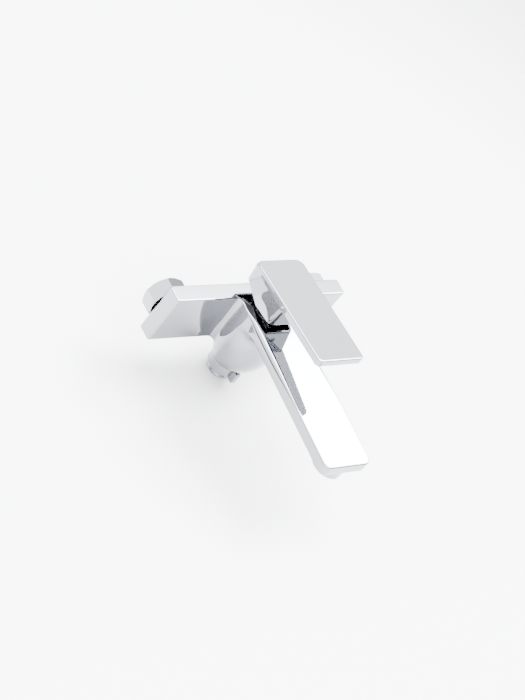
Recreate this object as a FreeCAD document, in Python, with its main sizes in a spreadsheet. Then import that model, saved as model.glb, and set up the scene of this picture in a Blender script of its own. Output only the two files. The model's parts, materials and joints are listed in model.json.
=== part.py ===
"""Wall mounted bath mixer: a square-cut bar body with a lever on top, a long flat spout and a shower outlet below.

The frame: +X along the bar, +Z up, and -Y out of the wall, towards the bather. The origin lies midway between
the two inlets, in the plane where the union nuts meet the wall connections. All sizes are millimetres.
"""

import FreeCAD, Part
import math
import os
import re
import Sketcher

OUT = "parts"

DIMENSIONS = {
    # supply side
    "inlet_spacing": 150.0,
    "nut_across_flats": 30.0,
    "nut_length": 13.3,
    "nut_thread_bore": 24.12,
    "nut_relief_bore": 25.0,
    "nut_back_wall": 2.4,
    "nut_collar_bore": 20.6,
    "nut_gap": 0.4,
    "nipple_diameter": 20.0,
    "nipple_bore": 15.0,
    "nipple_flange": 23.4,
    "nipple_flange_thick": 2.0,
    "nipple_depth": 10.0,
    "washer_thick": 2.0,
    "washer_bore": 16.4,
    "screen_thick": 0.5,
    "screen_hole": 1.5,
    "valve_wall": 1.4,
    "valve_length": 13.0,
    "valve_seat_bore": 9.0,
    "poppet_disc": 10.4,
    "poppet_disc_thick": 1.5,
    "poppet_stem": 3.2,
    "spring_wire": 0.7,
    "running_gap": 0.3,
    # body casting
    "bar_length": 177.4,
    "bar_depth": 14.7,
    "bar_top": 23.4,
    "bar_bottom": 26.2,
    "bar_corner": 2.5,
    "bar_edge": 0.8,
    "bar_lower_edge": 2.2,
    "axis_offset": 24.5,
    "column_diameter": 50.6,
    "column_blend": 7.0,
    "belly_bottom": 40.3,
    "belly_foot": 28.0,
    "spout_reach": 154.5,
    "spout_width": 48.0,
    "spout_tip_top": 15.0,
    "spout_thick": 10.8,
    "spout_corner": 6.0,
    "spout_edge": 2.4,
    # water ways
    "chamber_floor": 11.0,
    "chamber_bore": 26.6,
    "supply_bore": 8.0,
    "supply_forward": 10.35,
    "feed_offset": 18.0,
    "feed_depth": 14.5,
    "duct_bore": 5.6,
    "duct_offset": 19.6,
    "spout_channel_width": 30.0,
    "spout_channel_height": 4.4,
    # cartridge
    "cartridge_diameter": 26.0,
    "base_thick": 4.6,
    "seal_thick": 1.4,
    "port_bore": 4.6,
    "port_circle": 13.0,
    "disc_thick": 3.5,
    "fixed_disc_diameter": 22.6,
    "moving_disc_diameter": 13.6,
    "carrier_thick": 4.7,
    "housing_wall": 1.4,
    "housing_shoulder": 13.0,
    "housing_shoulder_thick": 4.0,
    "neck_diameter": 20.0,
    "neck_bore": 15.6,
    "neck_top": 22.2,
    "nut_ring_diameter": 30.0,
    "nut_ring_thick": 4.0,
    "cover_diameter": 32.0,
    "cover_thick": 1.5,
    "pivot_height": 17.0,
    "guide_top": 20.0,
    "stem_width": 6.0,
    "stem_ball": 4.6,
    "stem_ball_height": 6.2,
    "stem_top": 44.0,
    "pin_diameter": 3.0,
    # lever
    "lever_width": 47.8,
    "lever_back": 2.3,
    "lever_front": 103.9,
    "lever_top": 54.43,
    "lever_slope": 3.38,
    "lever_thick": 6.5,
    "lever_back_corner": 7.0,
    "lever_front_corner": 4.0,
    "lever_edge": 1.0,
    "hub_foot_width": 32.6,
    "hub_foot_front": 46.5,
    "hub_head_front": 49.5,
    "hub_foot": 24.5,
    "hub_wall": 2.4,
    "hub_back_rise": 24.9,
    "hub_front_rise": 7.8,
    "boss_width": 13.0,
    "set_screw_diameter": 5.0,
    "set_screw_length": 9.0,
    "set_screw_height": 36.0,
    "plug_diameter": 7.6,
    "plug_thick": 2.3,
    # diverter and shower outlet
    "outlet_thread": 20.96,
    "outlet_chamfer": 0.7,
    "outlet_neck": 20.2,
    "outlet_bore": 14.0,
    "outlet_end": 57.0,
    "outlet_socket": 18.0,
    "sleeve_top": 26.0,
    "sleeve_diameter": 24.4,
    "ring_diameter": 27.6,
    "ring_top": 41.0,
    "ring_height": 9.6,
    "tab_width": 4.5,
    "tab_reach": 5.5,
    "clip_thick": 1.0,
    "clip_diameter": 23.6,
    "groove_diameter": 19.2,
    "seal_section": 1.1,
    "seal_groove": 18.6,
    "upper_seal": 39.0,
    "lower_seal": 45.0,
    # aerator
    "aerator_offset": 14.5,
    "aerator_diameter": 26.4,
    "aerator_thread": 24.0,
    "aerator_foot": 5.5,
    "aerator_bore": 21.0,
    "aerator_lip": 18.4,
    "aerator_lip_thick": 1.3,
    "insert_top": 5.5,
    "insert_hole": 2.2,
}

doc = FreeCAD.newDocument("bath_mixer")
sheet = doc.addObject("Spreadsheet::Sheet", "Sheet")
for row, (word, value) in enumerate(DIMENSIONS.items(), start=1):
    sheet.set(f"A{row}", word)
    sheet.set(f"B{row}", str(value))
    sheet.setAlias(f"B{row}", word)
doc.recompute()

ABOUT_X = FreeCAD.Vector(1, 0, 0)
ABOUT_Z = FreeCAD.Vector(0, 0, 1)
UPRIGHT = FreeCAD.Rotation()
TO_BATHER = FreeCAD.Rotation(ABOUT_X, 90)   # local +Z becomes -Y
TO_WALL = FreeCAD.Rotation(ABOUT_X, -90)    # local +Z becomes +Y
ALONG_X = FreeCAD.Rotation(FreeCAD.Vector(0, 1, 0), 90)

LEFT_NUT_TURN = 13      # degrees the left union nut stands from its flats being level

BAR_BACK = "(0 - nut_length - nut_gap)"
AXIS_Y = f"({BAR_BACK} - axis_offset)"
TIP_Y = f"({AXIS_Y} - spout_reach + 10)"
AERATOR_Y = f"({TIP_Y} + aerator_offset)"
finished = []


def cells(formula):
    """The formula with each dimension's word turned into a reference to its cell."""
    return re.sub(r"[a-z_]{3,}", lambda m: "Sheet." * (m.group() in DIMENSIONS) + m.group(), formula)


def value(word):
    """The number in a dimension's cell, for the few calls that take no expression."""
    return sheet.get(word)


def bind(item, **formulas):
    for name, formula in formulas.items():
        item.setExpression(name.replace("_", "."), cells(formula))
    return item


def put(item, at=("0", "0", "0"), turn=UPRIGHT):
    """Places an item: a rotation, then a position whose three formulas read the sheet."""
    item.Placement = FreeCAD.Placement(FreeCAD.Vector(), turn)
    for letter, formula in zip("xyz", at):
        item.setExpression(f"Placement.Base.{letter}", cells(formula))
    return item


def rod(name, diameter, length, at=("0", "0", "0"), turn=UPRIGHT):
    item = doc.addObject("Part::Cylinder", name)
    bind(item, Radius=f"({diameter}) / 2", Height=length)
    return put(item, at, turn)


def block(name, length, width, height, at=("0", "0", "0"), turn=UPRIGHT):
    """A box, length along X, width along Y and height along Z, with its low corner at the given place."""
    item = doc.addObject("Part::Box", name)
    bind(item, Length=length, Width=width, Height=height)
    return put(item, at, turn)


def ring(name, section, diameter, at, turn=UPRIGHT):
    """A round seal: a torus whose section and middle diameter are given."""
    item = doc.addObject("Part::Torus", name)
    bind(item, Radius1=f"({diameter}) / 2", Radius2=f"({section}) / 2")
    return put(item, at, turn)


def fuse(name, *items):
    item = doc.addObject("Part::MultiFuse", name)
    item.Shapes = list(items)
    item.Refine = True
    return item


def cut(name, base, *tools):
    tool = tools[0] if len(tools) == 1 else fuse(name + "_tools", *tools)
    item = doc.addObject("Part::Cut", name)
    item.Base = base
    item.Tool = tool
    return item


def common(name, base, tool):
    item = doc.addObject("Part::Common", name)
    item.Base = base
    item.Tool = tool
    return item


def rounded(name, base, *rules):
    """Fillets the base's edges. Each rule is (radius word, test), and the test says which edges it takes."""
    doc.recompute()
    item = doc.addObject("Part::Fillet", name)
    item.Base = base
    chosen = {}
    for word, test in rules:
        for number, edge in enumerate(base.Shape.Edges, start=1):
            if number not in chosen and test(edge):
                chosen[number] = value(word)
    item.Edges = [(number, radius, radius) for number, radius in sorted(chosen.items())]
    doc.recompute()
    return item


def runs_along(axis):
    """A test for straight edges that lie along X, Y or Z."""
    def test(edge):
        if edge.Curve.TypeId != "Part::GeomLine":
            return False
        return abs(edge.Curve.Direction[axis]) > 0.999
    return test


def turned(name, outline, at=("0", "0", "0"), turn=UPRIGHT):
    """A lathe part: a closed outline of (diameter, height) formulas, turned about the local Z axis."""
    body = doc.addObject("PartDesign::Body", name)
    plane = next(f for f in body.Origin.OriginFeatures if f.Role == "XZ_Plane")
    sketch = body.newObject("Sketcher::SketchObject", name + "_profile")
    sketch.AttachmentSupport = [(plane, "")]
    sketch.MapMode = "FlatFace"
    marks = [FreeCAD.Vector(10 + 5 * math.cos(i), 10 + 5 * math.sin(i), 0) for i in range(len(outline))]
    for i, mark in enumerate(marks):
        sketch.addGeometry(Part.LineSegment(mark, marks[(i + 1) % len(marks)]), False)
    for i in range(len(marks)):
        sketch.addConstraint(Sketcher.Constraint("Coincident", i, 2, (i + 1) % len(marks), 1))
    for i, (diameter, height) in enumerate(outline):
        for kind, axis, formula in (("DistanceX", -2, f"({diameter}) / 2"), ("DistanceY", -1, height)):
            if formula in ("0", "(0) / 2"):
                sketch.addConstraint(Sketcher.Constraint("PointOnObject", i, 1, axis))
                continue
            start = marks[i].x if kind == "DistanceX" else marks[i].y
            number = sketch.addConstraint(Sketcher.Constraint(kind, -1, 1, i, 1, start))
            sketch.setExpression(f"Constraints[{number}]", cells(formula))
    lathe = body.newObject("PartDesign::Revolution", name + "_turned")
    lathe.Profile = sketch
    lathe.ReferenceAxis = (sketch, ["V_Axis"])
    lathe.Angle = 360
    return put(body, at, turn)


def tube(name, outer, inner, length, at=("0", "0", "0"), turn=UPRIGHT):
    return turned(name, [(inner, "0"), (outer, "0"), (outer, length), (inner, length)], at, turn)


def around(count, step=0.0):
    """Equal angles round a circle, in radians."""
    return [step + 2 * math.pi * i / count for i in range(count)]


def finish(item, name):
    item.Label = name
    finished.append(item)
    return item


def bar_blank():
    bar = block("bar_box", "bar_length", "bar_depth", "bar_top + bar_bottom",
                ("0 - bar_length / 2", f"{BAR_BACK} - bar_depth", "0 - bar_bottom"))
    corners = rounded("bar_corners", bar, ("bar_corner", runs_along(2)))
    top = value("bar_top")
    return rounded("bar_edges", corners, ("bar_edge", lambda e: e.BoundBox.ZMin > top - 0.01),
                   ("bar_lower_edge", lambda e: e.BoundBox.ZMax < 0.01 - value("bar_bottom")))


def spout_blank():
    """A flat slab that falls gently from the column to its tip."""
    run = value("axis_offset") - value("bar_depth") + value("spout_reach") - 10
    slope = math.degrees(math.atan((value("bar_top") - value("spout_tip_top")) / run))
    tilt = FreeCAD.Rotation(ABOUT_X, slope)
    slab = block("spout_box", "spout_width", "spout_reach - 10", "spout_thick",
                 ("0 - spout_width / 2", TIP_Y, "spout_tip_top - spout_thick"), tilt)
    doc.recompute()
    front = slab.Shape.BoundBox.YMin

    def at_tip(edge):
        return edge.BoundBox.YMax < front + 3 and edge.BoundBox.ZLength > 5

    tip = rounded("spout_tip", slab, ("spout_corner", at_tip))
    return rounded("spout_edges", tip, ("spout_edge", lambda e: e.BoundBox.YMin < front + 20))


def feed(side, word):
    """The way from one inlet to its port under the cartridge: along the bar, down, then in below the chamber."""
    way_y = f"({BAR_BACK} - supply_forward)"
    port_x = f"({side} * port_circle / 2 * cos(30))"
    port_y = f"({AXIS_Y} + port_circle / 4)"
    start = "feed_offset" if side > 0 else "0 - inlet_spacing / 2 - 3"
    along = value("feed_offset") - value("port_circle") / 2 * math.cos(math.pi / 6)
    inward = value("axis_offset") - value("supply_forward") - value("port_circle") / 4
    bearing = math.degrees(math.atan2(side * along, -inward))
    slant = FreeCAD.Rotation(ABOUT_Z, bearing).multiply(TO_BATHER)
    return [
        rod(f"{word}_supply_way", "supply_bore", "inlet_spacing / 2 + 3 - feed_offset", (start, way_y, "0"), ALONG_X),
        rod(f"{word}_drop", "port_bore", "feed_depth + 3",
            (f"{side} * (feed_offset + port_bore / 2)", way_y, "0 - feed_depth - 3")),
        rod(f"{word}_cross_way", "port_bore", f"{math.hypot(along, inward) + 2:.3f}",
            (port_x, port_y, "0 - feed_depth"), slant),
        rod(f"{word}_port_way", "port_bore", "feed_depth - chamber_floor + 1", (port_x, port_y, "0 - feed_depth")),
    ]


def body_casting():
    """The casting that carries everything: bar, round column, spout, chamber and water ways."""
    column = turned("column", [("0", "0 - belly_bottom"), ("belly_foot", "0 - belly_bottom"),
                               ("belly_foot + 7.5", "3 - belly_bottom"), ("belly_foot + 14.5", "7.5 - belly_bottom"),
                               ("belly_foot + 20", "13 - belly_bottom"), ("belly_foot + 22.5", "20 - belly_bottom"),
                               ("column_diameter", "30 - belly_bottom"), ("column_diameter", "bar_top - 0.5"),
                               ("0", "bar_top - 0.5")], ("0", AXIS_Y, "0"))
    blend_x = "(sqrt((column_diameter / 2 + column_blend)^2 - (axis_offset - bar_depth - column_blend)^2))"
    blend_y = f"({BAR_BACK} - bar_depth - column_blend)"
    web = block("web_box", f"2 * {blend_x}", "column_blend + 1", "bar_top + bar_bottom - 1.5",
                (f"0 - {blend_x}", blend_y, "0.7 - bar_bottom"))
    hollows = [rod("web_hollow", "2 * column_blend", "bar_top + bar_bottom + 4",
                   (f"{side} * {blend_x}", blend_y, "0 - bar_bottom - 2")) for side in (-1, 1)]
    blended = fuse("trunk", bar_blank(), column, cut("web", web, *hollows))
    solid = fuse("casting_blank", blended, spout_blank())
    tools = [
        rod("chamber", "chamber_bore", "60", ("0", AXIS_Y, "0 - chamber_floor")),
        rod("nut_thread", "nut_ring_diameter", "40", ("0", AXIS_Y, "housing_shoulder + 2")),
        rod("cover_seat", "cover_diameter + 0.4", "40", ("0", AXIS_Y, "neck_top - cover_thick + 0.7")),
        block("behind_bar", "2 * column_diameter", "5", "3 * bar_bottom",
              ("0 - column_diameter", BAR_BACK, "0 - 2 * bar_bottom")),
        rod("sleeve_room", "sleeve_diameter + 2 * running_gap", "belly_bottom - sleeve_top + 3",
            ("0", AXIS_Y, "0 - belly_bottom - 1")),
        rod("nipple_socket", "outlet_neck", "sleeve_top - outlet_socket", ("0", AXIS_Y, "0 - sleeve_top")),
        rod("mixed_way", "port_bore", "outlet_socket - chamber_floor + 2",
            ("0", f"{AXIS_Y} - port_circle / 2", "0 - outlet_socket - 1")),
        rod("spout_duct", "duct_bore", "sleeve_top + 15", ("0", f"{AXIS_Y} - duct_offset", "0 - sleeve_top")),
        rod("duct_inlet", "duct_bore", "duct_offset", ("0", AXIS_Y, "0 - sleeve_top - 2"), TO_BATHER),
        block("spout_way", "spout_channel_width", "spout_reach - duct_offset - 17", "spout_channel_height",
              ("0 - spout_channel_width / 2", f"{AERATOR_Y} - 5", "spout_tip_top - spout_thick / 2 - 2"),
              FreeCAD.Rotation(ABOUT_X, 3.1)),
        rod("aerator_thread_bore", "aerator_thread", "5.4", ("0", AERATOR_Y, "spout_tip_top - spout_thick - 1")),
    ]
    for side, word in ((-1, "left"), (1, "right")):
        tools.append(rod(f"{word}_inlet", "nipple_diameter", "nipple_depth + 2",
                         (f"{side} * inlet_spacing / 2", f"{BAR_BACK} - nipple_depth", "0"), TO_WALL))
        tools += feed(side, word)
    finish(cut("body_casting", solid, *tools), "body_casting")


def inlet(side, word):
    """One supply: a nipple screwed in the bar, its union nut, washer, filter and check valve."""
    x = f"{side} * inlet_spacing / 2"
    flange_y = "(0 - nut_length + nut_back_wall + nut_gap)"
    face_y = f"({flange_y} + nipple_flange_thick)"
    length = f"({face_y} - {BAR_BACK} + nipple_depth)"
    nipple = turned(f"inlet_nipple_{word}", [
        ("nipple_bore", "0"), ("nipple_diameter", "0"), ("nipple_diameter", f"{length} - nipple_flange_thick"),
        ("nipple_flange", f"{length} - nipple_flange_thick"), ("nipple_flange", length), ("nipple_bore", length),
    ], (x, f"{BAR_BACK} - nipple_depth", "0"), TO_WALL)
    finish(nipple, f"inlet_nipple_{word}")

    hexagon = doc.addObject("Part::Prism", f"{word}_hexagon")
    hexagon.Polygon = 6
    bind(hexagon, Circumradius="nut_across_flats / sqrt(3)", Height="nut_length")
    stance = FreeCAD.Rotation(ABOUT_Z, LEFT_NUT_TURN if side < 0 else 0)
    put(hexagon, (x, "0 - nut_length", "0"), TO_WALL.multiply(stance))
    crown = turned(f"{word}_crown", [
        ("0", "0"), ("nut_across_flats", "0"), ("nut_across_flats * 1.16", "1.4"),
        ("nut_across_flats * 1.16", "nut_length - 1.4"), ("nut_across_flats", "nut_length"), ("0", "nut_length"),
    ], (x, "0 - nut_length", "0"), TO_WALL)
    nut = cut(f"union_nut_{word}", common(f"{word}_nut_blank", hexagon, crown),
              rod(f"{word}_nut_thread", "nut_thread_bore", "nut_length + 2", (x, "0 - nut_length + 3", "0"), TO_WALL),
              rod(f"{word}_nut_relief", "nut_relief_bore", f"{face_y} + washer_thick + nut_length - nut_back_wall",
                  (x, "nut_back_wall - nut_length", "0"), TO_WALL),
              rod(f"{word}_nut_collar", "nut_collar_bore", "nut_length + 2", (x, "0 - nut_length - 1", "0"), TO_WALL))
    finish(nut, f"union_nut_{word}")

    finish(tube(f"inlet_washer_{word}", "nipple_flange", "washer_bore", "washer_thick", (x, face_y, "0"), TO_WALL),
           f"inlet_washer_{word}")

    plate = rod(f"{word}_screen_plate", "washer_bore", "screen_thick", (x, face_y, "0"), TO_WALL)
    holes = [rod(f"{word}_mesh_centre", "screen_hole", "4", (x, f"{face_y} - 2", "0"), TO_WALL)]
    for count, reach in ((6, 2.6), (12, 5.2)):
        for angle in around(count):
            at = (f"{x} + {reach * math.cos(angle):.4f}", f"{face_y} - 2", f"{reach * math.sin(angle):.4f}")
            holes.append(rod(f"{word}_mesh", "screen_hole", "4", at, TO_WALL))
    finish(cut(f"filter_screen_{word}", plate, *holes), f"filter_screen_{word}")

    valve_y = f"({face_y} - 0.6 - valve_length)"
    cage = turned(f"{word}_valve_shell", [
        ("nipple_bore - 2 * valve_wall", "0"), ("nipple_bore - 0.1", "0"), ("nipple_bore - 0.1", "valve_length"),
        ("valve_seat_bore", "valve_length"), ("valve_seat_bore", "valve_length - 1.6"),
        ("nipple_bore - 2 * valve_wall", "valve_length - 1.6"),
    ], (x, valve_y, "0"), TO_WALL)
    ribs = [block(f"{word}_valve_rib", "nipple_bore - valve_wall", "1.2", "1.6",
                  (f"{x} - (nipple_bore - valve_wall) / 2 * {math.cos(a):.6f} - 0.6 * {math.sin(a):.6f}", valve_y,
                   f"0 - (nipple_bore - valve_wall) / 2 * {math.sin(a):.6f} + 0.6 * {math.cos(a):.6f}"),
                  FreeCAD.Rotation(FreeCAD.Vector(0, -1, 0), math.degrees(a)).multiply(TO_WALL))
            for a in (0.0, math.pi / 2)]
    guide = rod(f"{word}_valve_guide", "poppet_stem + 3.2", "1.6", (x, valve_y, "0"), TO_WALL)
    hole = rod(f"{word}_valve_hole", "poppet_stem + 2 * running_gap", "3.2", (x, f"{valve_y} - 0.8", "0"), TO_WALL)
    blank = fuse(f"{word}_cage", cage, guide, *ribs)
    finish(cut(f"check_valve_cage_{word}", blank, hole), f"check_valve_cage_{word}")

    disc_y = "(valve_length - 1.6 - running_gap - poppet_disc_thick)"
    poppet = turned(f"check_poppet_{word}", [
        ("0", "0 - 1"), ("poppet_stem", "0 - 1"), ("poppet_stem", disc_y), ("poppet_disc", disc_y),
        ("poppet_disc", f"{disc_y} + poppet_disc_thick"), ("0", f"{disc_y} + poppet_disc_thick"),
    ], (x, valve_y, "0"), TO_WALL)
    finish(poppet, f"check_poppet_{word}")

    coil = "(poppet_stem + 3.2)"
    pitch = f"({disc_y} - 3) / 4"
    turns = [ring(f"{word}_coil", "spring_wire", coil, (x, f"{valve_y} + 2.1 + {i} * {pitch}", "0"), TO_WALL)
             for i in range(5)]
    finish(fuse(f"check_spring_{word}", *turns), f"check_spring_{word}")


def cartridge():
    """The ceramic disc cartridge, with the lever's stem working through its neck."""
    floor = "(0 - chamber_floor)"
    base_z = f"({floor} + seal_thick)"
    disc_z = f"({base_z} + base_thick)"
    slide_z = f"({disc_z} + disc_thick + running_gap)"
    carrier_z = f"({slide_z} + disc_thick)"

    ways = [(f"port_circle / 2 * {math.cos(a):.6f}", f"{AXIS_Y} + port_circle / 2 * {math.sin(a):.6f}")
            for a in around(3, -math.pi / 2)]

    def ports(name, bottom, height):
        return [rod(f"{name}_port", "port_bore", height, (*way, bottom)) for way in ways]

    seals = [tube("port_seal", "port_bore + 2.2", "port_bore", "seal_thick", (*way, floor)) for way in ways]
    finish(fuse("base_seals", *seals), "base_seals")
    base = rod("base_blank", "cartridge_diameter", "base_thick", ("0", AXIS_Y, base_z))
    finish(cut("cartridge_base", base, *ports("base", f"{base_z} - 1", "base_thick + 2")), "cartridge_base")
    fixed = rod("fixed_blank", "fixed_disc_diameter", "disc_thick", ("0", AXIS_Y, disc_z))
    finish(cut("fixed_disc", fixed, *ports("fixed", f"{disc_z} - 1", "disc_thick + 2")), "fixed_disc")
    moving = rod("moving_blank", "moving_disc_diameter", "disc_thick", ("0", AXIS_Y, slide_z))
    pocket = block("mixing_pocket", "7", "6", "2", ("0 - 3.5", f"{AXIS_Y} - 4", f"{slide_z} - 0.4"))
    finish(cut("moving_disc", moving, pocket), "moving_disc")
    carrier = rod("carrier_blank", "moving_disc_diameter", "carrier_thick", ("0", AXIS_Y, carrier_z))
    slot = block("carrier_slot", "stem_ball + 1.2", "stem_ball + 1.2", "carrier_thick",
                 ("0 - stem_ball / 2 - 0.6", f"{AXIS_Y} - stem_ball / 2 - 0.6", f"{carrier_z} + 0.8"))
    finish(cut("disc_carrier", carrier, slot), "disc_carrier")

    shoulder = f"housing_shoulder + housing_shoulder_thick - {disc_z}"
    housing = turned("cartridge_housing", [
        ("cartridge_diameter - 2 * housing_wall", "0"), ("cartridge_diameter", "0"), ("cartridge_diameter", shoulder),
        ("neck_diameter", shoulder), ("neck_diameter", f"neck_top - {disc_z}"),
        ("neck_bore", f"neck_top - {disc_z}"), ("neck_bore", f"housing_shoulder - {disc_z}"),
        ("cartridge_diameter - 2 * housing_wall", f"housing_shoulder - {disc_z}"),
    ], ("0", AXIS_Y, disc_z))
    finish(housing, "cartridge_housing")

    guide_height = "guide_top - housing_shoulder + 2.9"
    guide_blank = turned("guide_blank", [
        ("0", "0"), ("neck_bore + 5", "0"), ("neck_bore + 5", "2.6"), ("neck_bore - 2 * running_gap", "2.6"),
        ("neck_bore - 2 * running_gap", guide_height), ("0", guide_height),
    ], ("0", AXIS_Y, "housing_shoulder - 2.9"))
    guide_slot = block("guide_slot", "stem_width + 2 * running_gap", "11.2", "30",
                       ("0 - stem_width / 2 - running_gap", f"{AXIS_Y} - 5.6", "0"))
    pin_hole = rod("guide_pin_hole", "pin_diameter", "neck_bore + 8",
                   ("0 - neck_bore / 2 - 4", AXIS_Y, "pivot_height"), ALONG_X)
    finish(cut("stem_guide", guide_blank, guide_slot, pin_hole), "stem_guide")
    pin = rod("pivot_pin", "pin_diameter", "neck_bore - 1.6",
              ("0.8 - neck_bore / 2", AXIS_Y, "pivot_height"), ALONG_X)
    finish(pin, "pivot_pin")

    shank = rod("stem_shank", "3.8", "7", ("0", AXIS_Y, "stem_ball_height"))
    bar = block("stem_bar", "stem_width", "stem_width", "stem_top - housing_shoulder + 1",
                ("0 - stem_width / 2", f"{AXIS_Y} - stem_width / 2", "housing_shoulder - 1"))
    ball = doc.addObject("Part::Sphere", "stem_ball")
    bind(ball, Radius="stem_ball / 2")
    put(ball, ("0", AXIS_Y, "stem_ball_height"))
    stem_hole = rod("stem_pin_hole", "pin_diameter + 0.12", "stem_width + 4",
                    ("0 - stem_width / 2 - 2", AXIS_Y, "pivot_height"), ALONG_X)
    finish(cut("lever_stem", fuse("stem_blank", shank, bar, ball), stem_hole), "lever_stem")

    nut = tube("nut_blank", "nut_ring_diameter", "neck_diameter + 0.6", "nut_ring_thick",
               ("0", AXIS_Y, "housing_shoulder + housing_shoulder_thick"))
    slots = [block("spanner_slot", "nut_ring_diameter + 4", "3", "1.8",
                   (f"0 - (nut_ring_diameter / 2 + 2) * {math.cos(a):.6f} + 1.5 * {math.sin(a):.6f}",
                    f"{AXIS_Y} - (nut_ring_diameter / 2 + 2) * {math.sin(a):.6f} - 1.5 * {math.cos(a):.6f}",
                    "housing_shoulder + housing_shoulder_thick + nut_ring_thick - 1.6"),
                   FreeCAD.Rotation(ABOUT_Z, math.degrees(a))) for a in around(4, math.pi / 8)[:2]]
    finish(cut("cartridge_nut", nut, *slots), "cartridge_nut")
    cover = tube("cover_ring", "cover_diameter", "neck_diameter + 0.5", "cover_thick",
                 ("0", AXIS_Y, "neck_top + 0.7 - cover_thick"))
    finish(cover, "cover_ring")


def lever():
    """The flat lever: a sloping plate over a hollow hub that narrows downwards and sits on the stem."""
    slope = FreeCAD.Rotation(ABOUT_X, -value("lever_slope"))
    front = f"({BAR_BACK} - lever_front)"
    rise = "(lever_top + lever_front * tan(lever_slope))"
    plate = block("lever_box", "lever_width", "(lever_front - lever_back) / cos(lever_slope)", "lever_thick",
                  ("0 - lever_width / 2", f"{front} - lever_thick * sin(lever_slope)",
                   f"{rise} - lever_thick * cos(lever_slope)"), slope)
    doc.recompute()
    middle = plate.Shape.BoundBox.Center.y

    def upright(edge):
        return edge.BoundBox.ZLength > 5 and edge.BoundBox.YLength < 3

    corners = rounded("lever_corners", plate,
                      ("lever_front_corner", lambda e: upright(e) and e.BoundBox.Center.y < middle),
                      ("lever_back_corner", lambda e: upright(e) and e.BoundBox.Center.y > middle))
    plate = rounded("lever_plate", corners, ("lever_edge", lambda e: not upright(e)))

    def hub(name, inset, lift):
        """The hub's outer form, or its hollow when it is inset."""
        wedge = doc.addObject("Part::Wedge", name)
        head = f"(lever_width / 2 - 0.8 - {inset})"
        foot = f"(hub_foot_width / 2 - {inset})"
        bind(wedge, Ymin="0", Ymax="26", Xmin=f"0 - {foot}", Xmax=foot, X2min=f"0 - {head}", X2max=head,
             Zmin=f"0 - {BAR_BACK} + lever_back - 1 + {inset}", Zmax=f"0 - {BAR_BACK} + hub_foot_front - 2 - {inset}",
             Z2min=f"0 - {BAR_BACK} + lever_back + 0.5 + {inset}", Z2max=f"0 - {BAR_BACK} + hub_head_front - {inset}")
        return put(wedge, ("0", "0", f"hub_foot - {lift}"), FreeCAD.Rotation(ABOUT_X, 90))

    outer = rounded("hub_form", hub("hub_wedge", "0", "0"), ("lever_front_corner", lambda e: e.BoundBox.ZLength > 20))
    back_trim = block("back_trim", "80", "60", "40", ("0 - 40", f"{AXIS_Y} + 1.5 + 40 * sin(hub_back_rise)",
                                                      "hub_foot - 40 * cos(hub_back_rise)"),
                      FreeCAD.Rotation(ABOUT_X, value("hub_back_rise")))
    front_trim = block("front_trim", "80", "60", "40",
                       ("0 - 40", f"{AXIS_Y} + 1.5 - 60 * cos(hub_front_rise) - 40 * sin(hub_front_rise)",
                        "hub_foot + 60 * sin(hub_front_rise) - 40 * cos(hub_front_rise)"),
                       FreeCAD.Rotation(ABOUT_X, -value("hub_front_rise")))
    shell = cut("hub_shell", outer, hub("hub_hollow", "hub_wall", "0.1"))
    skirt = cut("hub_skirt", shell, back_trim, front_trim)
    boss = block("stem_boss", "boss_width", "boss_width", "lever_top - 33",
                 ("0 - boss_width / 2", f"{AXIS_Y} - boss_width / 2", "30"))
    bridge = block("screw_bridge", "9", "hub_foot_front - axis_offset - hub_wall", "9",
                   ("0 - 4.5", f"{BAR_BACK} - hub_foot_front + 1.2", "set_screw_height - 4.5"))
    whole = fuse("lever_blank", plate, skirt, boss, bridge)
    socket = block("stem_socket", "stem_width + 0.1", "stem_width + 0.1", "stem_top - 20",
                   ("0 - stem_width / 2 - 0.05", f"{AXIS_Y} - stem_width / 2 - 0.05", "20.2"))
    screw_hole = rod("screw_hole", "set_screw_diameter", "40", ("0", f"{AXIS_Y} - 1", "set_screw_height"), TO_BATHER)
    plug_y = f"{BAR_BACK} - hub_foot_front + 2.5"
    plug_seat = rod("plug_seat", "plug_diameter", "10", ("0", plug_y, "set_screw_height"), TO_BATHER)
    finish(cut("lever", whole, socket, screw_hole, plug_seat), "lever")

    screw = rod("screw_blank", "set_screw_diameter", "set_screw_length",
                ("0", f"{AXIS_Y} - stem_width / 2", "set_screw_height"), TO_BATHER)
    key = doc.addObject("Part::Prism", "screw_key")
    key.Polygon = 6
    bind(key, Circumradius="1.45", Height="3")
    put(key, ("0", f"{AXIS_Y} - stem_width / 2 - set_screw_length + 2.5", "set_screw_height"), TO_BATHER)
    finish(cut("set_screw", screw, key), "set_screw")
    plug = turned("screw_plug", [
        ("0", "0"), ("plug_diameter", "0"), ("plug_diameter", "plug_thick - 0.6"),
        ("plug_diameter - 1.2", "plug_thick"), ("0", "plug_thick"),
    ], ("0", plug_y, "set_screw_height"), TO_BATHER)
    finish(plug, "screw_plug")


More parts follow.
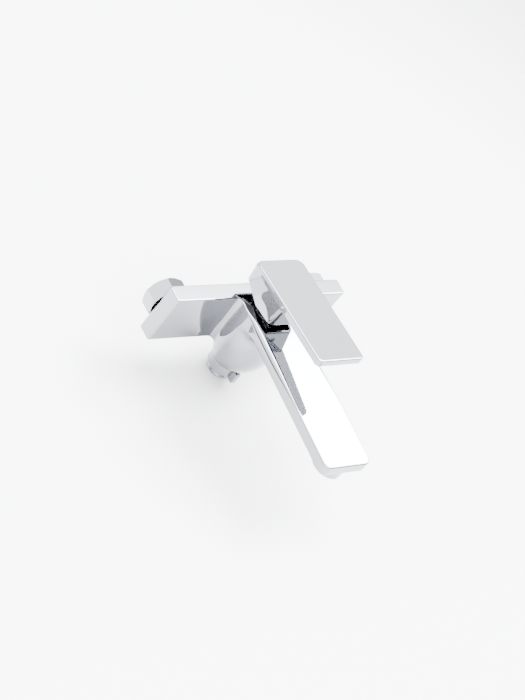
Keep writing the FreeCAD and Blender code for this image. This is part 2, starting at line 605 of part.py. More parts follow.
def shower_outlet():
    """The shower outlet below the column: a fixed threaded nipple inside a turning diverter ring."""
    length = "(outlet_end - outlet_socket)"
    clip_z = "(ring_top + ring_height + running_gap + clip_thick)"
    clip_groove = f"(outlet_end - {clip_z} - 0.2)"
    outline = [("outlet_bore", "0"), ("outlet_thread - 2 * outlet_chamfer", "0"), ("outlet_thread", "outlet_chamfer"),
               ("outlet_thread", clip_groove), ("groove_diameter", clip_groove),
               ("groove_diameter", f"{clip_groove} + clip_thick + 0.4"),
               ("outlet_neck", f"{clip_groove} + clip_thick + 0.4")]
    for place in ("lower_seal", "upper_seal"):
        low, high = f"outlet_end - {place} - 0.7", f"outlet_end - {place} + 0.7"
        outline += [("outlet_neck", low), ("seal_groove", low), ("seal_groove", high), ("outlet_neck", high)]
    outline += [("outlet_neck", length), ("outlet_bore", length)]
    nipple = turned("nipple_blank", outline, ("0", AXIS_Y, "0 - outlet_end"))
    spout_hole = rod("nipple_spout_hole", "duct_bore", "outlet_thread",
                     ("0", AXIS_Y, "0 - sleeve_top - 2"), TO_BATHER)
    finish(cut("shower_nipple", nipple, spout_hole), "shower_nipple")
    rings = [ring("nipple_ring", "seal_section", "seal_groove + seal_section", ("0", AXIS_Y, f"0 - {place}"))
             for place in ("upper_seal", "lower_seal")]
    finish(fuse("outlet_seals", *rings), "outlet_seals")

    sleeve = tube("sleeve_blank", "sleeve_diameter", "outlet_thread + 2 * running_gap", "ring_top - sleeve_top",
                  ("0", AXIS_Y, "0 - ring_top"))
    window = block("sleeve_window", "duct_bore + 3", "sleeve_diameter", "duct_bore + 1.4",
                   ("0 - duct_bore / 2 - 1.5", f"{AXIS_Y} - sleeve_diameter",
                    "0 - sleeve_top - 2 - duct_bore / 2 - 0.7"))
    finish(cut("diverter_sleeve", sleeve, window), "diverter_sleeve")

    collar = turned("ring_blank", [
        ("outlet_thread + 2 * running_gap", "0"), ("ring_diameter - 1.2", "0"), ("ring_diameter", "0.6"),
        ("ring_diameter", "ring_height - 0.6"), ("ring_diameter - 1.2", "ring_height"),
        ("outlet_thread + 2 * running_gap", "ring_height"),
    ], ("0", AXIS_Y, "0 - ring_top - ring_height"))
    tab = block("tab_box", "tab_width", "tab_reach + 1.5", "ring_height",
                ("0 - tab_width / 2", f"{AXIS_Y} - ring_diameter / 2 - tab_reach", "0 - ring_top - ring_height"))
    tab = rounded("tab", tab, ("bar_edge", lambda e: e.BoundBox.YMax < tab.Shape.BoundBox.YMin + 0.1))
    finish(fuse("diverter_ring", collar, tab), "diverter_ring")

    clip = tube("clip_blank", "clip_diameter", "groove_diameter + 0.2", "clip_thick", ("0", AXIS_Y, f"0 - {clip_z}"))
    gap = block("clip_gap", "4", "20", "4", ("0 - 2", AXIS_Y, f"0 - {clip_z} - 1"))
    finish(cut("snap_ring", clip, gap), "snap_ring")


def aerator():
    """The aerator: a threaded sleeve holding a jet insert, a fine screen and a sealing washer."""
    seat = "(spout_tip_top - spout_thick - 0.2)"
    top = f"({seat} + 4.2)"
    shell = turned("aerator_shell", [
        ("aerator_lip", "0"), ("aerator_diameter - 1.6", "0"), ("aerator_diameter", "0.8"),
        ("aerator_diameter", f"{seat} + aerator_foot"), ("aerator_thread", f"{seat} + aerator_foot"),
        ("aerator_thread", f"{top} + aerator_foot"), ("aerator_bore", f"{top} + aerator_foot"),
        ("aerator_bore", "aerator_lip_thick"), ("aerator_lip", "aerator_lip_thick"),
    ], ("0", AERATOR_Y, "0 - aerator_foot"))
    finish(shell, "aerator_shell")
    bottom = "(aerator_lip_thick - aerator_foot)"
    core = rod("insert_blank", "aerator_bore", f"insert_top - {bottom}", ("0", AERATOR_Y, bottom))
    holes = []
    for count, reach in ((1, 0.0), (6, 3.1), (12, 6.2)):
        for angle in around(count, math.pi / 12):
            at = (f"{reach * math.cos(angle):.4f}", f"{AERATOR_Y} - {-reach * math.sin(angle):.4f}", f"{bottom} - 1")
            holes.append(rod("jet", "insert_hole", f"insert_top - {bottom} + 2", at))
    finish(cut("aerator_insert", core, *holes), "aerator_insert")
    finish(rod("aerator_screen", "aerator_bore", "screen_thick", ("0", AERATOR_Y, "insert_top")), "aerator_screen")
    finish(tube("aerator_washer", "aerator_bore", "aerator_bore - 4", f"{top} - insert_top - screen_thick",
                ("0", AERATOR_Y, "insert_top + screen_thick")), "aerator_washer")


def write_parts():
    doc.recompute()
    broken = [o.Name for o in doc.Objects if "Invalid" in o.State or "Error" in o.State]
    if broken:
        raise SystemExit(f"failed objects: {broken}")
    for item in finished:
        if item.Shape.isNull() or not item.Shape.isValid() or not item.Shape.Solids:
            raise SystemExit(f"{item.Label} has no valid solid")
    os.makedirs(OUT, exist_ok=True)
    for item in finished:
        item.Shape.exportStep(os.path.join(OUT, item.Label + ".step"))
        print(f"{item.Label}: {len(item.Shape.Solids)} solids, {item.Shape.Volume:.0f} mm3")


body_casting()
for side, word in ((-1, "left"), (1, "right")):
    inlet(side, word)
cartridge()
lever()
shower_outlet()
aerator()
write_parts()
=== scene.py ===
"""Looks for the wall mounted bath mixer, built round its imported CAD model.

Shapes are worked out in millimetres, in the CAD model's own frame: +X along the bar, +Z up, -Y out of
the wall.
The visible castings are smooth skins: each is a distance field made of rounded and blended forms, meshed on a
grid whose lines are closer together where the form has small edges, with the field's own normals.
"""

import json
import math

import bpy
import numpy as np
from mathutils import Matrix, Vector

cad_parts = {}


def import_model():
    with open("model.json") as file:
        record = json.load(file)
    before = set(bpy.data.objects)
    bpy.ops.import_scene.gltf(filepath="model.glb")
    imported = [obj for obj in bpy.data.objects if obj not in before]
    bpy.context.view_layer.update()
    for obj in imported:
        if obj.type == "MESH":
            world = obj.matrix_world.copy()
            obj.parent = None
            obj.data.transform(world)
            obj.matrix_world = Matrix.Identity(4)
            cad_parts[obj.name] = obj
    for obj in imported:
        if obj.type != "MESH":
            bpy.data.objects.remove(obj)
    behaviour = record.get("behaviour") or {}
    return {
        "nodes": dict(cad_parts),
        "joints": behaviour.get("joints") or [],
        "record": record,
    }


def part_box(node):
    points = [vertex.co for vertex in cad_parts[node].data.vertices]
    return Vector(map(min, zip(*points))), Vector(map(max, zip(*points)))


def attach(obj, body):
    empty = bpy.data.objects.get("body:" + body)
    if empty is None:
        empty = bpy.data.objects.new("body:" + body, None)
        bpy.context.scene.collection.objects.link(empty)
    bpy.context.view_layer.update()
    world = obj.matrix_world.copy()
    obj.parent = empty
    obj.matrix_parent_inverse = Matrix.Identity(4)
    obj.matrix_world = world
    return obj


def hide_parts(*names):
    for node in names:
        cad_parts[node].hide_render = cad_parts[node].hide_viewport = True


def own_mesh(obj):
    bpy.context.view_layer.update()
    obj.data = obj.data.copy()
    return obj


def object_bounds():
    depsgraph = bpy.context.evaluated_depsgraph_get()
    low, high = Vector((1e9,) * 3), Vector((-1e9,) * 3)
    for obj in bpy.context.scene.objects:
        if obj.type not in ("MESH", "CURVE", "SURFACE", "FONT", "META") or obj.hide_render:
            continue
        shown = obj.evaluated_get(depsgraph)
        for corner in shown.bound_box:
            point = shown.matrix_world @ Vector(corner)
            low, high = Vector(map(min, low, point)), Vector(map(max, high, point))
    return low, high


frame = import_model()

MM = 0.001
CAD_BOX = [list(corner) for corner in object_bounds()]


def box_mm(node):
    low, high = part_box(node)
    return np.array(low) / MM, np.array(high) / MM


JOINTS = {j["name"]: j for j in frame["joints"]}
BODY_LOW, BODY_HIGH = box_mm("body_casting")
LEVER_LOW, LEVER_HIGH = box_mm("lever")
AXIS_Y = JOINTS["lever_swing"]["pos_m"][1] / MM

# ---------------------------------------------------------------- distance fields


def union(a, b, radius):
    """The union of two forms, with a fillet of that radius where they meet."""
    near = np.hypot(np.maximum(radius - a, 0), np.maximum(radius - b, 0))
    return np.maximum(radius, np.minimum(a, b)) - near


def overlap(a, b, radius):
    """What two forms share, with a rounded edge of that radius where they meet."""
    near = np.hypot(np.maximum(radius + a, 0), np.maximum(radius + b, 0))
    return np.minimum(-radius, np.maximum(a, b)) + near


def merge(a, b, reach):
    """The union of two forms that lie nearly flush, smoothed over that reach."""
    share = np.maximum(reach - np.abs(a - b), 0) / reach
    return np.minimum(a, b) - share * share * reach / 4


def plan_form(u, v, half_u, half_v, radius):
    """A rectangle with round corners, seen in plan."""
    a = np.abs(u) - half_u + radius
    b = np.abs(v) - half_v + radius
    return np.hypot(np.maximum(a, 0), np.maximum(b, 0)) + np.minimum(np.maximum(a, b), 0) - radius


def ease(value, start, end):
    """0 at start and 1 at end, with a smooth change between."""
    share = np.clip((value - start) / (end - start), 0, 1)
    return share * share * (3 - 2 * share)


def stops(*spans):
    """Grid lines: each span is (where it starts, spacing), and the last is where the lines end."""
    lines = []
    for (start, step), following in zip(spans[:-1], spans[1:]):
        end = following[0]
        count = max(1, round((end - start) / step))
        lines.append(np.linspace(start, end, count, endpoint=False))
    return np.concatenate(lines + [[spans[-1][0]]])


SLOPE_REACH = 0.02
PULLS = 4
LEAST_SLOPE = 0.05
MOST_PULL = 0.6


def slope_of(field, points):
    """The field's gradient at some points."""
    parts = []
    for axis in range(3):
        shift = np.zeros(3)
        shift[axis] = SLOPE_REACH
        ahead = field(*(points + shift).T)
        behind = field(*(points - shift).T)
        parts.append((ahead - behind) / (2 * SLOPE_REACH))
    return np.stack(parts, 1)


def skin(name, field, xs, ys, zs, shear=None):
    """A closed mesh of the field's surface: one vertex for each grid cell that the surface passes through.

    The vertices are then pulled onto the surface along its slope."""
    grid = np.stack(np.meshgrid(xs, ys, zs, indexing="ij"), -1)
    if shear is not None:
        grid[..., 2] += shear(grid[..., 1])
    values = field(grid[..., 0], grid[..., 1], grid[..., 2])
    cells = tuple(n - 1 for n in values.shape)
    total = np.zeros(cells + (3,))
    count = np.zeros(cells)
    quads = []
    for axis in range(3):
        near = [slice(None)] * 3
        far = [slice(None)] * 3
        near[axis] = slice(0, -1)
        far[axis] = slice(1, None)
        near, far = tuple(near), tuple(far)
        a, b = values[near], values[far]
        at = np.argwhere((a < 0) != (b < 0))
        others = [k for k in range(3) if k != axis]
        for k in others:
            at = at[(at[:, k] > 0) & (at[:, k] < values.shape[k] - 1)]
        index = tuple(at.T)
        a, b = a[index], b[index]
        share = (a / (a - b))[:, None]
        place = grid[near][index] * (1 - share) + grid[far][index] * share
        corner = []
        for du, dv in ((0, 0), (1, 0), (1, 1), (0, 1)):
            cell = at.copy()
            cell[:, others[0]] -= du
            cell[:, others[1]] -= dv
            np.add.at(total, tuple(cell.T), place)
            np.add.at(count, tuple(cell.T), 1)
            corner.append(np.ravel_multi_index(tuple(cell.T), cells))
        quad = np.stack(corner, 1)
        turn = (a < 0) == (axis == 1)
        quads.append(np.where(turn[:, None], quad[:, ::-1], quad))
    used = np.flatnonzero(count.ravel())
    points = total.reshape(-1, 3)[used] / count.ravel()[used, None]
    number = np.zeros(count.size, np.int64)
    number[used] = np.arange(len(used))
    quads = number[np.concatenate(quads)]
    for _ in range(PULLS):
        slope = slope_of(field, points)
        step = field(*points.T)[:, None] * slope / np.maximum((slope ** 2).sum(1), LEAST_SLOPE)[:, None]
        points = points - np.clip(step, -MOST_PULL, MOST_PULL)
    normals = slope_of(field, points)
    normals /= np.linalg.norm(normals, axis=1)[:, None]
    return mesh_piece(name, points, quads, normals)


def mesh_piece(name, points, faces, normals=None):
    """An object from points in millimetres, with smooth faces that follow the normals where they are given."""
    mesh = bpy.data.meshes.new(name)
    mesh.from_pydata((np.asarray(points) * MM).tolist(), [], [list(map(int, f)) for f in faces])
    mesh.validate()
    mesh.shade_smooth()
    if normals is not None:
        mesh.normals_split_custom_set_from_vertices(normals.tolist())
    piece = bpy.data.objects.new(name, mesh)
    bpy.context.scene.collection.objects.link(piece)
    return piece


# ---------------------------------------------------------------- the casting

BAR_HALF = BODY_HIGH[0]
BAR_BACK = BODY_HIGH[1]
BAR_DEPTH = 14.7
BAR_FRONT = BAR_BACK - BAR_DEPTH
BAR_TOP = BODY_HIGH[2]
BAR_BOTTOM = -26.2
BAR_CORNER = 2.6
BAR_EDGE = 0.9
COLUMN_RADIUS = 25.3
COLUMN_FOOT = BODY_LOW[2]
FOOT_RADIUS = 13.9
FOOT_EDGE = 0.8
BELLY_START = -8.0
BELLY_PUSH = 3.0
BELLY_SHAPE = 0.72
LEAST_LEAN = 0.35
BAR_FILLET = 7.0
BACK_EDGE = 0.6
SPOUT_TIP = BODY_LOW[1]
SPOUT_HALF = 24.0
SPOUT_DROP = 0.0545
SPOUT_THICK = 11.0
SPOUT_CORNER = 6.0
SPOUT_LOWER_EDGE = 2.6
SPOUT_FILLET = 9.0
SPOUT_MERGE = 2.4
ROOT_ROUNDING = 4.4
ROOT_START = BAR_FRONT - 8
ROOT_FULL = BAR_FRONT - 34
THIN_START = -84
THIN_END = -134
THIN_SHARE = 0.9
COVER_RECESS = 16.2
RECESS_FLOOR = 20.5
RECESS_EDGE = 0.5
CHAMBER_RADIUS = 13.3
CHAMBER_FLOOR = -11.0
INLET_X = np.mean(box_mm("check_poppet_right"), axis=0)[0]
INLET_RADIUS = 10.0
INLET_DEPTH = 10.0
SUPPLY_RADIUS = 4.0
SUPPLY_Y = BAR_BACK - 10.35
SUPPLY_START = 18.0
SUPPLY_BEYOND = 3.0
SLEEVE_ROOM_RADIUS = 12.8
SLEEVE_ROOM_TOP = -25.4


def deck(y):
    """The height of the top face: level over the bar, then falling gently to the spout's tip."""
    return BAR_TOP - SPOUT_DROP * np.maximum(BAR_FRONT - y, 0)


def waterways(x, y, z):
    """The inlets, the ways along the bar, the cartridge's chamber and the sleeve's room, negative inside."""
    inlets = np.maximum(np.hypot(np.abs(x) - INLET_X, z) - INLET_RADIUS, BAR_BACK - INLET_DEPTH - y)
    ends = np.maximum(SUPPLY_START - np.abs(x), np.abs(x) - INLET_X - SUPPLY_BEYOND)
    supply = np.maximum(np.hypot(y - SUPPLY_Y, z) - SUPPLY_RADIUS, ends)
    chamber = np.maximum(np.hypot(x, y - AXIS_Y) - CHAMBER_RADIUS, CHAMBER_FLOOR - z)
    sleeve_room = np.maximum(np.hypot(x, y - AXIS_Y) - SLEEVE_ROOM_RADIUS, z - SLEEVE_ROOM_TOP)
    return np.minimum(np.minimum(inlets, supply), np.minimum(chamber, sleeve_room))


def casting_field(x, y, z):
    """Bar, round column and spout in one piece, open where the water and the cartridge go."""
    bar = plan_form(x, y - (BAR_BACK + BAR_FRONT) / 2, BAR_HALF, BAR_DEPTH / 2, BAR_CORNER)
    bar = overlap(bar, BAR_BOTTOM - z, BAR_CORNER)
    down = np.clip((BELLY_START - z) / (BELLY_START - COLUMN_FOOT), 0, 1)
    fullness = np.maximum(1 - down ** 2, 0)
    radius = FOOT_RADIUS + (COLUMN_RADIUS - FOOT_RADIUS) * fullness ** BELLY_SHAPE
    push = BELLY_PUSH * ease(z, BAR_TOP, BELLY_START) * np.sqrt(fullness)
    column = np.hypot(x, y - AXIS_Y + push) - radius
    lean = LEAST_LEAN + (1 - LEAST_LEAN) * np.sqrt(fullness)
    column = overlap(column * lean, COLUMN_FOOT - z, FOOT_EDGE)
    trunk = union(bar, column, BAR_FILLET)
    under = union(deck(y) - SPOUT_THICK - z, column, SPOUT_FILLET)
    half = (AXIS_Y - SPOUT_TIP) / 2
    plan = plan_form(x, y - (AXIS_Y + SPOUT_TIP) / 2, SPOUT_HALF, half, SPOUT_CORNER)
    spout = overlap(under, plan, SPOUT_LOWER_EDGE)
    whole = merge(trunk, spout, SPOUT_MERGE)
    whole = overlap(whole, y - BAR_BACK, BACK_EDGE)
    thinning = 1 - THIN_SHARE * ease(y, THIN_START, THIN_END)
    rounding = BAR_EDGE + ROOT_ROUNDING * ease(y, ROOT_START, ROOT_FULL) * thinning
    whole = overlap(whole, z - deck(y), rounding)
    recess = COVER_RECESS - np.hypot(x, y - AXIS_Y)
    whole = overlap(whole, np.minimum(recess, z - RECESS_FLOOR), RECESS_EDGE)
    return np.maximum(whole, -waterways(x, y, z))


def casting():
    """The casting's skin. Its grid is finest along the spout's edges, the bar's edges and the recess."""
    xs = stops((-BAR_HALF - 1, 0.45), (-BAR_HALF + 4, 1.0), (-64, 2.5), (-42, 0.9), (-27, 0.3), (-17, 0.45),
               (17, 0.3), (27, 0.9), (42, 2.5), (64, 1.0), (BAR_HALF - 4, 0.45), (BAR_HALF + 1, 0))
    ys = stops((SPOUT_TIP - 1, 0.5), (SPOUT_TIP + 9, 2.0), (-75, 0.8), (-56, 0.45), (BAR_FRONT - 1.5, 0.4),
               (BAR_FRONT + 4, 1.0), (BAR_BACK - 4, 0.4), (BAR_BACK + 1, 0))
    zs = stops((COLUMN_FOOT - 1, 0.5), (COLUMN_FOOT + 4, 0.8), (BAR_BOTTOM - 1, 0.45), (BAR_BOTTOM + 4, 0.9),
               (8, 0.5), (16, 0.35), (BAR_TOP + 1, 0))
    piece = skin("casting_skin", casting_field, xs, ys, zs, lambda y: deck(y) - BAR_TOP)
    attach(piece, "body")
    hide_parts("body_casting")
    return piece


# ---------------------------------------------------------------- the lever

LEVER_HALF = LEVER_HIGH[0]
LEVER_FRONT = LEVER_LOW[1]
LEVER_TOP = 54.43
LEVER_RISE = math.radians(3.38)
LEVER_THICK = 6.5
HUB_FOOT = LEVER_LOW[2]
HUB_FOOT_HALF = 16.3
HUB_HEAD_HALF = 23.1
HUB_HEAD = 50.5
HUB_FOOT_FRONT = -58.2
HUB_FRONT_FLARE = 5.0
HUB_FOOT_BACK = -14.7
HUB_BACK_LEAN = 1.5
HUB_WALL = 2.4
HUB_CORNER = 4.0
HUB_INTO_PLATE = 2.0
HUB_EDGE = 0.5
HUB_LOWER_EDGE = 0.8
ROOF_GAP = 0.5
LOW_POINT_Y = AXIS_Y + 1.5
REAR_SLOPE = math.radians(24.9)
FORE_SLOPE = math.radians(7.8)
PLATE_BACK = -2.3
PLATE_FRONT = (LEVER_FRONT - BAR_BACK) / math.cos(LEVER_RISE) + 0.35
PLATE_BACK_CORNER = 7.0
PLATE_FRONT_CORNER = 4.0
PLATE_TOP_EDGE = 1.1
PLATE_LOWER_EDGE = 1.2
PLATE_FILLET = 0.6
BOSS_HALF = 6.5
BOSS_CORNER = 1.0
BOSS_FOOT = 30.0
BOSS_EDGE = 0.6
BOSS_INTO_PLATE = 3.0
SOCKET_HALF = 3.05
SOCKET_EDGE = 0.2
SCREW_HEIGHT = 36.0
SCREW_RADIUS = 2.5
SCREW_EDGE = 0.25


def hub_form(x, y, z, inset):
    """The hub's four sloping sides, which narrow downwards."""
    up = (z - HUB_FOOT) / (HUB_HEAD - HUB_FOOT)
    side = np.abs(x) - (HUB_FOOT_HALF + (HUB_HEAD_HALF - HUB_FOOT_HALF) * up) + inset
    front = HUB_FOOT_FRONT - HUB_FRONT_FLARE * up - y + inset
    back = y - HUB_FOOT_BACK + HUB_BACK_LEAN * up + inset
    corner = max(HUB_CORNER - inset, 1.0)
    return overlap(overlap(side, front, corner), back, corner)


def lever_field(x, y, z):
    """The flat plate on its hollow hub, with the stem's socket in a boss and a hole for the set screw."""
    c, s = math.cos(LEVER_RISE), math.sin(LEVER_RISE)
    along = (y - BAR_BACK) * c - (z - LEVER_TOP) * s
    above = (y - BAR_BACK) * s + (z - LEVER_TOP) * c
    middle = (PLATE_FRONT + PLATE_BACK) / 2
    corner = np.where(along > middle, PLATE_BACK_CORNER, PLATE_FRONT_CORNER)
    plate = plan_form(x, along - middle, LEVER_HALF, (PLATE_BACK - PLATE_FRONT) / 2, corner)
    plate = overlap(overlap(plate, above, PLATE_TOP_EDGE), -above - LEVER_THICK, PLATE_LOWER_EDGE)
    outer = overlap(hub_form(x, y, z, 0.0), above + HUB_INTO_PLATE, HUB_EDGE)
    hollow = np.maximum(hub_form(x, y, z, HUB_WALL), above + LEVER_THICK + ROOF_GAP)
    rear_cut = (HUB_FOOT - z) * math.cos(REAR_SLOPE) + (y - LOW_POINT_Y) * math.sin(REAR_SLOPE)
    fore_cut = (HUB_FOOT - z) * math.cos(FORE_SLOPE) - (y - LOW_POINT_Y) * math.sin(FORE_SLOPE)
    shell = overlap(outer, -hollow, HUB_EDGE)
    shell = overlap(shell, np.maximum(rear_cut, fore_cut), HUB_LOWER_EDGE)
    boss = overlap(plan_form(x, y - AXIS_Y, BOSS_HALF, BOSS_HALF, BOSS_CORNER), BOSS_FOOT - z, BOSS_EDGE)
    boss = np.maximum(boss, above + BOSS_INTO_PLATE)
    boss = overlap(boss, SOCKET_HALF - np.maximum(np.abs(x), np.abs(y - AXIS_Y)), SOCKET_EDGE)
    whole = union(np.minimum(shell, boss), plate, PLATE_FILLET)
    screw = np.maximum(np.hypot(x, z - SCREW_HEIGHT) - SCREW_RADIUS, y - AXIS_Y)
    return overlap(whole, -screw, SCREW_EDGE)


def lever():
    """The lever's skin, on a grid that rises with the plate."""
    xs = stops((-LEVER_HALF - 0.6, 0.4), (-LEVER_HALF + 9, 0.8), (LEVER_HALF - 9, 0.4), (LEVER_HALF + 0.6, 0))
    ys = stops((LEVER_FRONT - 0.8, 0.4), (LEVER_FRONT + 6, 1.6), (-66, 0.5), (-54, 0.9), (-24, 0.5),
               (-13.4, 0))
    rise = math.tan(LEVER_RISE)
    zs = stops((HUB_FOOT - 8, 0.4), (HUB_FOOT + 14, 0.6), (42, 0.45), (56.5, 0))
    piece = skin("lever_skin", lever_field, xs, ys, zs, lambda y: -(y - BAR_BACK) * rise)
    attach(piece, "lever")
    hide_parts("lever")
    return piece


# ---------------------------------------------------------------- the shower outlet's thread

NIPPLE_LOW, NIPPLE_HIGH = box_mm("shower_nipple")
THREAD_RADIUS = NIPPLE_HIGH[0]
THREAD_TOP = NIPPLE_LOW[2] + 4.9
THREAD_PITCH = 1.81
THREAD_DEPTH = 0.8
THREAD_LEAD_IN = 1.2
THREAD_EDGE = 0.2
NECK_RADIUS = 10.1
NECK_OVERLAP = 1.0
NIPPLE_BORE = 7.0
NIPPLE_EDGE = 0.3
SPOUT_HOLE_HEIGHT = -28.0
SPOUT_HOLE_RADIUS = 2.8
GROOVES = ((-39.0, 9.3), (-45.0, 9.3), (-51.4, 9.6))
GROOVE_HALF = 0.7


def nipple_field(x, y, z):
    """A tube with a thread at its foot, three grooves round its neck and a hole towards the spout."""
    around_y = y - AXIS_Y
    out = np.hypot(x, around_y)
    turn = np.arctan2(around_y, x) / (2 * math.pi)
    wave = 0.5 - 0.5 * np.cos(2 * math.pi * (z / THREAD_PITCH - turn))
    lead_in = np.clip((z - NIPPLE_LOW[2]) / THREAD_LEAD_IN, 0, 1)
    threaded = out - (THREAD_RADIUS - THREAD_DEPTH * (wave * lead_in + 1 - lead_in))
    threaded = overlap(threaded, z - THREAD_TOP, THREAD_EDGE)
    neck = out - NECK_RADIUS
    for height, radius in GROOVES:
        neck = np.maximum(neck, np.minimum(out - radius, GROOVE_HALF - np.abs(z - height)))
    neck = np.maximum(neck, THREAD_TOP - NECK_OVERLAP - z)
    whole = np.minimum(threaded, neck)
    whole = overlap(whole, z - NIPPLE_HIGH[2], NIPPLE_EDGE)
    whole = overlap(whole, NIPPLE_LOW[2] - z, NIPPLE_EDGE)
    whole = overlap(whole, NIPPLE_BORE - out, NIPPLE_EDGE)
    hole = np.maximum(np.hypot(x, z - SPOUT_HOLE_HEIGHT) - SPOUT_HOLE_RADIUS, around_y)
    return np.maximum(whole, -hole)


def nipple():
    """The shower nipple's skin."""
    reach = THREAD_RADIUS + 0.6
    across = stops((-reach, 0.4), (reach, 0))
    zs = stops((NIPPLE_LOW[2] - 0.6, 0.22), (THREAD_TOP + 3.0, 0.6), (NIPPLE_HIGH[2] + 0.8, 0))
    piece = skin("nipple_skin", nipple_field, across, across + AXIS_Y, zs)
    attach(piece, "body")
    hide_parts("shower_nipple")
    return piece


# ---------------------------------------------------------------- the check valves' springs

SPRING_WIRE = 0.35
SPRING_TURNS = 5
STEPS_PER_TURN = 32
WIRE_SIDES = 10


def spring(side):
    """A coil in the CAD spring's box."""
    node = f"check_spring_{side}"
    low, high = box_mm(node)
    centre = (low + high) / 2
    coil = (high[0] - low[0]) / 2 - SPRING_WIRE
    count = SPRING_TURNS * STEPS_PER_TURN + 1
    turn = np.linspace(0, 2 * math.pi * SPRING_TURNS, count)[:, None]
    lift = np.linspace(low[1] + SPRING_WIRE, high[1] - SPRING_WIRE, count)[:, None]
    around = np.linspace(0, 2 * math.pi, WIRE_SIDES, endpoint=False)[None, :]
    radius = coil + SPRING_WIRE * np.cos(around)
    points = np.stack([centre[0] + radius * np.cos(turn), lift + SPRING_WIRE * np.sin(around),
                       centre[2] + radius * np.sin(turn)], -1).reshape(-1, 3)
    faces = []
    for i in range(count - 1):
        for k in range(WIRE_SIDES):
            a = i * WIRE_SIDES + k
            b = i * WIRE_SIDES + (k + 1) % WIRE_SIDES
            faces.append((a, b, b + WIRE_SIDES, a + WIRE_SIDES))
    faces.append(tuple(reversed(range(WIRE_SIDES))))
    faces.append(tuple(range((count - 1) * WIRE_SIDES, count * WIRE_SIDES)))
    piece = mesh_piece(f"spring_coil_{side}", points, faces)
    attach(piece, "body")
    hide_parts(node)
    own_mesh(piece)
    return piece


# ---------------------------------------------------------------- materials


GRAIN_DETAIL = 4.0
GRAIN_DISTANCE = 0.0002
SHARP_ANGLE = math.radians(32)


def new_material(name, base, metallic, roughness):
    """A plain finish."""
    material = bpy.data.materials.new(name)
    material.use_nodes = True
    shader = material.node_tree.nodes["Principled BSDF"]
    shader.inputs["Base Color"].default_value = (*base, 1)
    shader.inputs["Metallic"].default_value = metallic
    shader.inputs["Roughness"].default_value = roughness
    return material


def add_grain(material, scale, low, high, bump):
    """Uneven roughness and a faint relief from one noise."""
    tree = material.node_tree
    shader = tree.nodes["Principled BSDF"]
    place = tree.nodes.new("ShaderNodeTexCoord")
    noise = tree.nodes.new("ShaderNodeTexNoise")
    noise.inputs["Scale"].default_value = scale
    noise.inputs["Detail"].default_value = GRAIN_DETAIL
    spread = tree.nodes.new("ShaderNodeMapRange")
    spread.inputs["To Min"].default_value = low
    spread.inputs["To Max"].default_value = high
    relief = tree.nodes.new("ShaderNodeBump")
    relief.inputs["Strength"].default_value = bump
    relief.inputs["Distance"].default_value = GRAIN_DISTANCE
    tree.links.new(place.outputs["Object"], noise.inputs["Vector"])
    tree.links.new(noise.outputs["Fac"], spread.inputs["Value"])
    tree.links.new(spread.outputs["Result"], shader.inputs["Roughness"])
    tree.links.new(noise.outputs["Fac"], relief.inputs["Height"])
    tree.links.new(relief.outputs["Normal"], shader.inputs["Normal"])
    return material


chrome = add_grain(new_material("chrome", (0.275, 0.284, 0.30), 1.0, 0.04), 90, 0.02, 0.05, 0.004)
brass = add_grain(new_material("brass", (0.72, 0.53, 0.24), 1.0, 0.25), 400, 0.18, 0.34, 0.05)
steel = add_grain(new_material("steel", (0.56, 0.56, 0.57), 1.0, 0.25), 500, 0.2, 0.36, 0.05)
white_plastic = add_grain(new_material("white_plastic", (0.80, 0.80, 0.78), 0.0, 0.4), 700, 0.34, 0.5, 0.1)
grey_plastic = add_grain(new_material("grey_plastic", (0.055, 0.057, 0.06), 0.0, 0.4), 700, 0.35, 0.55, 0.12)
rubber = add_grain(new_material("rubber", (0.02, 0.02, 0.021), 0.0, 0.7), 900, 0.6, 0.8, 0.15)
ceramic = add_grain(new_material("ceramic", (0.85, 0.84, 0.80), 0.0, 0.15), 300, 0.1, 0.2, 0.02)

BY_SLOT = {"chrome": chrome, "brass": brass, "steel": steel, "white_plastic": white_plastic,
           "grey_plastic": grey_plastic, "black_rubber": rubber, "fibre": rubber, "alumina": ceramic}


def dress(piece, material):
    """Gives a piece one material."""
    piece.data.materials.clear()
    piece.data.materials.append(material)


def dress_nodes():
    """Gives each CAD node its slot's material, and smooth faces between its sharp edges."""
    for part in frame["record"]["subparts"]:
        piece = frame["nodes"][part["node"]]
        dress(piece, BY_SLOT[part["material_slot"]])
        piece.data.shade_smooth()
        piece.data.set_sharp_from_angle(angle=SHARP_ANGLE)


# ---------------------------------------------------------------- stage, light and camera

FLOOR_SIZE = 12
FLOOR_CENTRE_Y = -0.1
FLOOR_ROUGHNESS = 0.45
# The far colour is painted shade: the floor fades to near black away from the faucet, standing in for light
# falling off there.
FLOOR_NEAR = (0.52, 0.52, 0.525, 1)
FLOOR_FAR_PAINTED_SHADE = (0.02, 0.02, 0.021, 1)
FLOOR_PAINTED_SHADE_REACH = (0.55, 1.3)


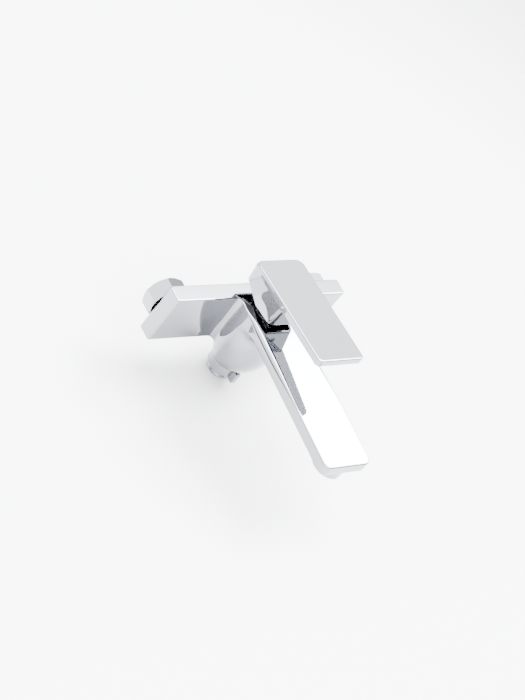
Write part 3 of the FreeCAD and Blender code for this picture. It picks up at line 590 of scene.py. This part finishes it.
def stage():
    """A pale floor at the faucet's lowest point, with painted shade in its colour that darkens it far from the
    faucet.
    """
    lowest = CAD_BOX[0][2]
    bpy.ops.mesh.primitive_plane_add(size=FLOOR_SIZE, location=(0, FLOOR_CENTRE_Y, lowest))
    floor = bpy.context.object
    floor.name = "floor"
    material = new_material("floor_white", FLOOR_NEAR[:3], 0.0, FLOOR_ROUGHNESS)
    tree = material.node_tree
    place = tree.nodes.new("ShaderNodeTexCoord")
    distance = tree.nodes.new("ShaderNodeVectorMath")
    distance.operation = "LENGTH"
    # Painted shade: the floor's colour darkens with distance from the faucet.
    shade_fade = tree.nodes.new("ShaderNodeMapRange")
    shade_fade.inputs["From Min"].default_value, shade_fade.inputs["From Max"].default_value = FLOOR_PAINTED_SHADE_REACH
    mix = tree.nodes.new("ShaderNodeMix")
    mix.data_type = "RGBA"
    mix.inputs["A"].default_value = FLOOR_NEAR
    mix.inputs["B"].default_value = FLOOR_FAR_PAINTED_SHADE
    tree.links.new(place.outputs["Object"], distance.inputs[0])
    tree.links.new(distance.outputs["Value"], shade_fade.inputs["Value"])
    tree.links.new(shade_fade.outputs["Result"], mix.inputs["Factor"])
    tree.links.new(mix.outputs["Result"], tree.nodes["Principled BSDF"].inputs["Base Color"])
    dress(floor, material)


def direction(azimuth, elevation):
    """A unit vector: azimuth is from +Y towards +X, and elevation up from level, both in degrees."""
    a, e = math.radians(azimuth), math.radians(elevation)
    return math.sin(a) * math.cos(e), math.cos(a) * math.cos(e), math.sin(e)


# The sky is dark at the horizon and pale above it. Each ramp: the sine of the elevation where it starts and
# ends. Each soft light: where its centre is (azimuth, elevation), the angles from there where it starts to
# fade and where it has faded out, and what it adds to the sky's brightness.
SKY_HORIZON = 0.25
SKY_PALE = 7.0
SKY_PALE_RAMP = (0.14, 0.50)
SKY_TOP = 1.5
SKY_TOP_RAMP = (0.50, 0.95)
SKY_LIGHTS = (
    ((77, 53), (12.5, 23.5), 56.0),
    ((0, 72), (13, 26), 26.0),
    ((-150, 50), (14, 34), 8.0),
    ((175, 40), (10, 30), 5.0),
)
SKY_TINT = (0.965, 0.975, 1.0)


def world():
    """A pale studio: a sky that brightens upwards, with four large soft lights in it."""
    scene_world = bpy.data.worlds.new("studio")
    bpy.context.scene.world = scene_world
    scene_world.use_nodes = True
    tree = scene_world.node_tree
    back = tree.nodes["Background"]
    place = tree.nodes.new("ShaderNodeTexCoord")
    back.inputs["Color"].default_value = (*SKY_TINT, 1)

    def toward(centre):
        dot = tree.nodes.new("ShaderNodeVectorMath")
        dot.operation = "DOT_PRODUCT"
        dot.inputs[1].default_value = centre
        tree.links.new(place.outputs["Generated"], dot.inputs[0])
        return dot.outputs["Value"]

    def spread(source, low, high, to_low, to_high):
        node = tree.nodes.new("ShaderNodeMapRange")
        node.interpolation_type = "SMOOTHSTEP"
        node.inputs["From Min"].default_value = low
        node.inputs["From Max"].default_value = high
        node.inputs["To Min"].default_value = to_low
        node.inputs["To Max"].default_value = to_high
        tree.links.new(source, node.inputs["Value"])
        return node.outputs["Result"]

    up = toward((0, 0, 1))
    total = spread(up, *SKY_PALE_RAMP, SKY_HORIZON, SKY_PALE)
    glows = [spread(up, *SKY_TOP_RAMP, 0, SKY_TOP)]
    for centre, (full, faded), strength in SKY_LIGHTS:
        near, far = math.cos(math.radians(full)), math.cos(math.radians(faded))
        glows.append(spread(toward(direction(*centre)), far, near, 0, strength))
    for glow in glows:
        add = tree.nodes.new("ShaderNodeMath")
        add.operation = "ADD"
        tree.links.new(total, add.inputs[0])
        tree.links.new(glow, add.inputs[1])
        total = add.outputs["Value"]
    tree.links.new(total, back.inputs["Strength"])


AIM = Vector((10.3, -52.1, -14.8)) * MM
CAMERA_AZIMUTH = math.radians(-58.76)
CAMERA_ELEVATION = math.radians(37.38)
CAMERA_ROLL = math.radians(40.96)
CAMERA_DISTANCE = 1.64
CAMERA_LENS = 106.9
CAMERA_SENSOR = 36.0
CAMERA_FAR_CLIP = 50


def camera():
    """The camera looks down at the faucet from the left front, and is rolled about its line of sight."""
    data = bpy.data.cameras.new("camera")
    eye = bpy.data.objects.new("camera", data)
    bpy.context.scene.collection.objects.link(eye)
    data.lens = CAMERA_LENS
    data.sensor_width = CAMERA_SENSOR
    data.clip_end = CAMERA_FAR_CLIP
    back = Vector((math.sin(CAMERA_AZIMUTH) * math.cos(CAMERA_ELEVATION),
                   -math.cos(CAMERA_AZIMUTH) * math.cos(CAMERA_ELEVATION), math.sin(CAMERA_ELEVATION)))
    right = Vector((0, 0, 1)).cross(back).normalized()
    up = back.cross(right)
    turn = Matrix((right, up, back)).transposed() @ Matrix.Rotation(CAMERA_ROLL, 3, "Z")
    eye.matrix_world = Matrix.Translation(AIM + back * CAMERA_DISTANCE) @ turn.to_4x4()
    bpy.context.scene.camera = eye


camera()
dress_nodes()
dress(casting(), chrome)
dress(lever(), chrome)
dress(nipple(), chrome)
for word in ("left", "right"):
    dress(spring(word), steel)
stage()
world()
bpy.context.view_layer.update()
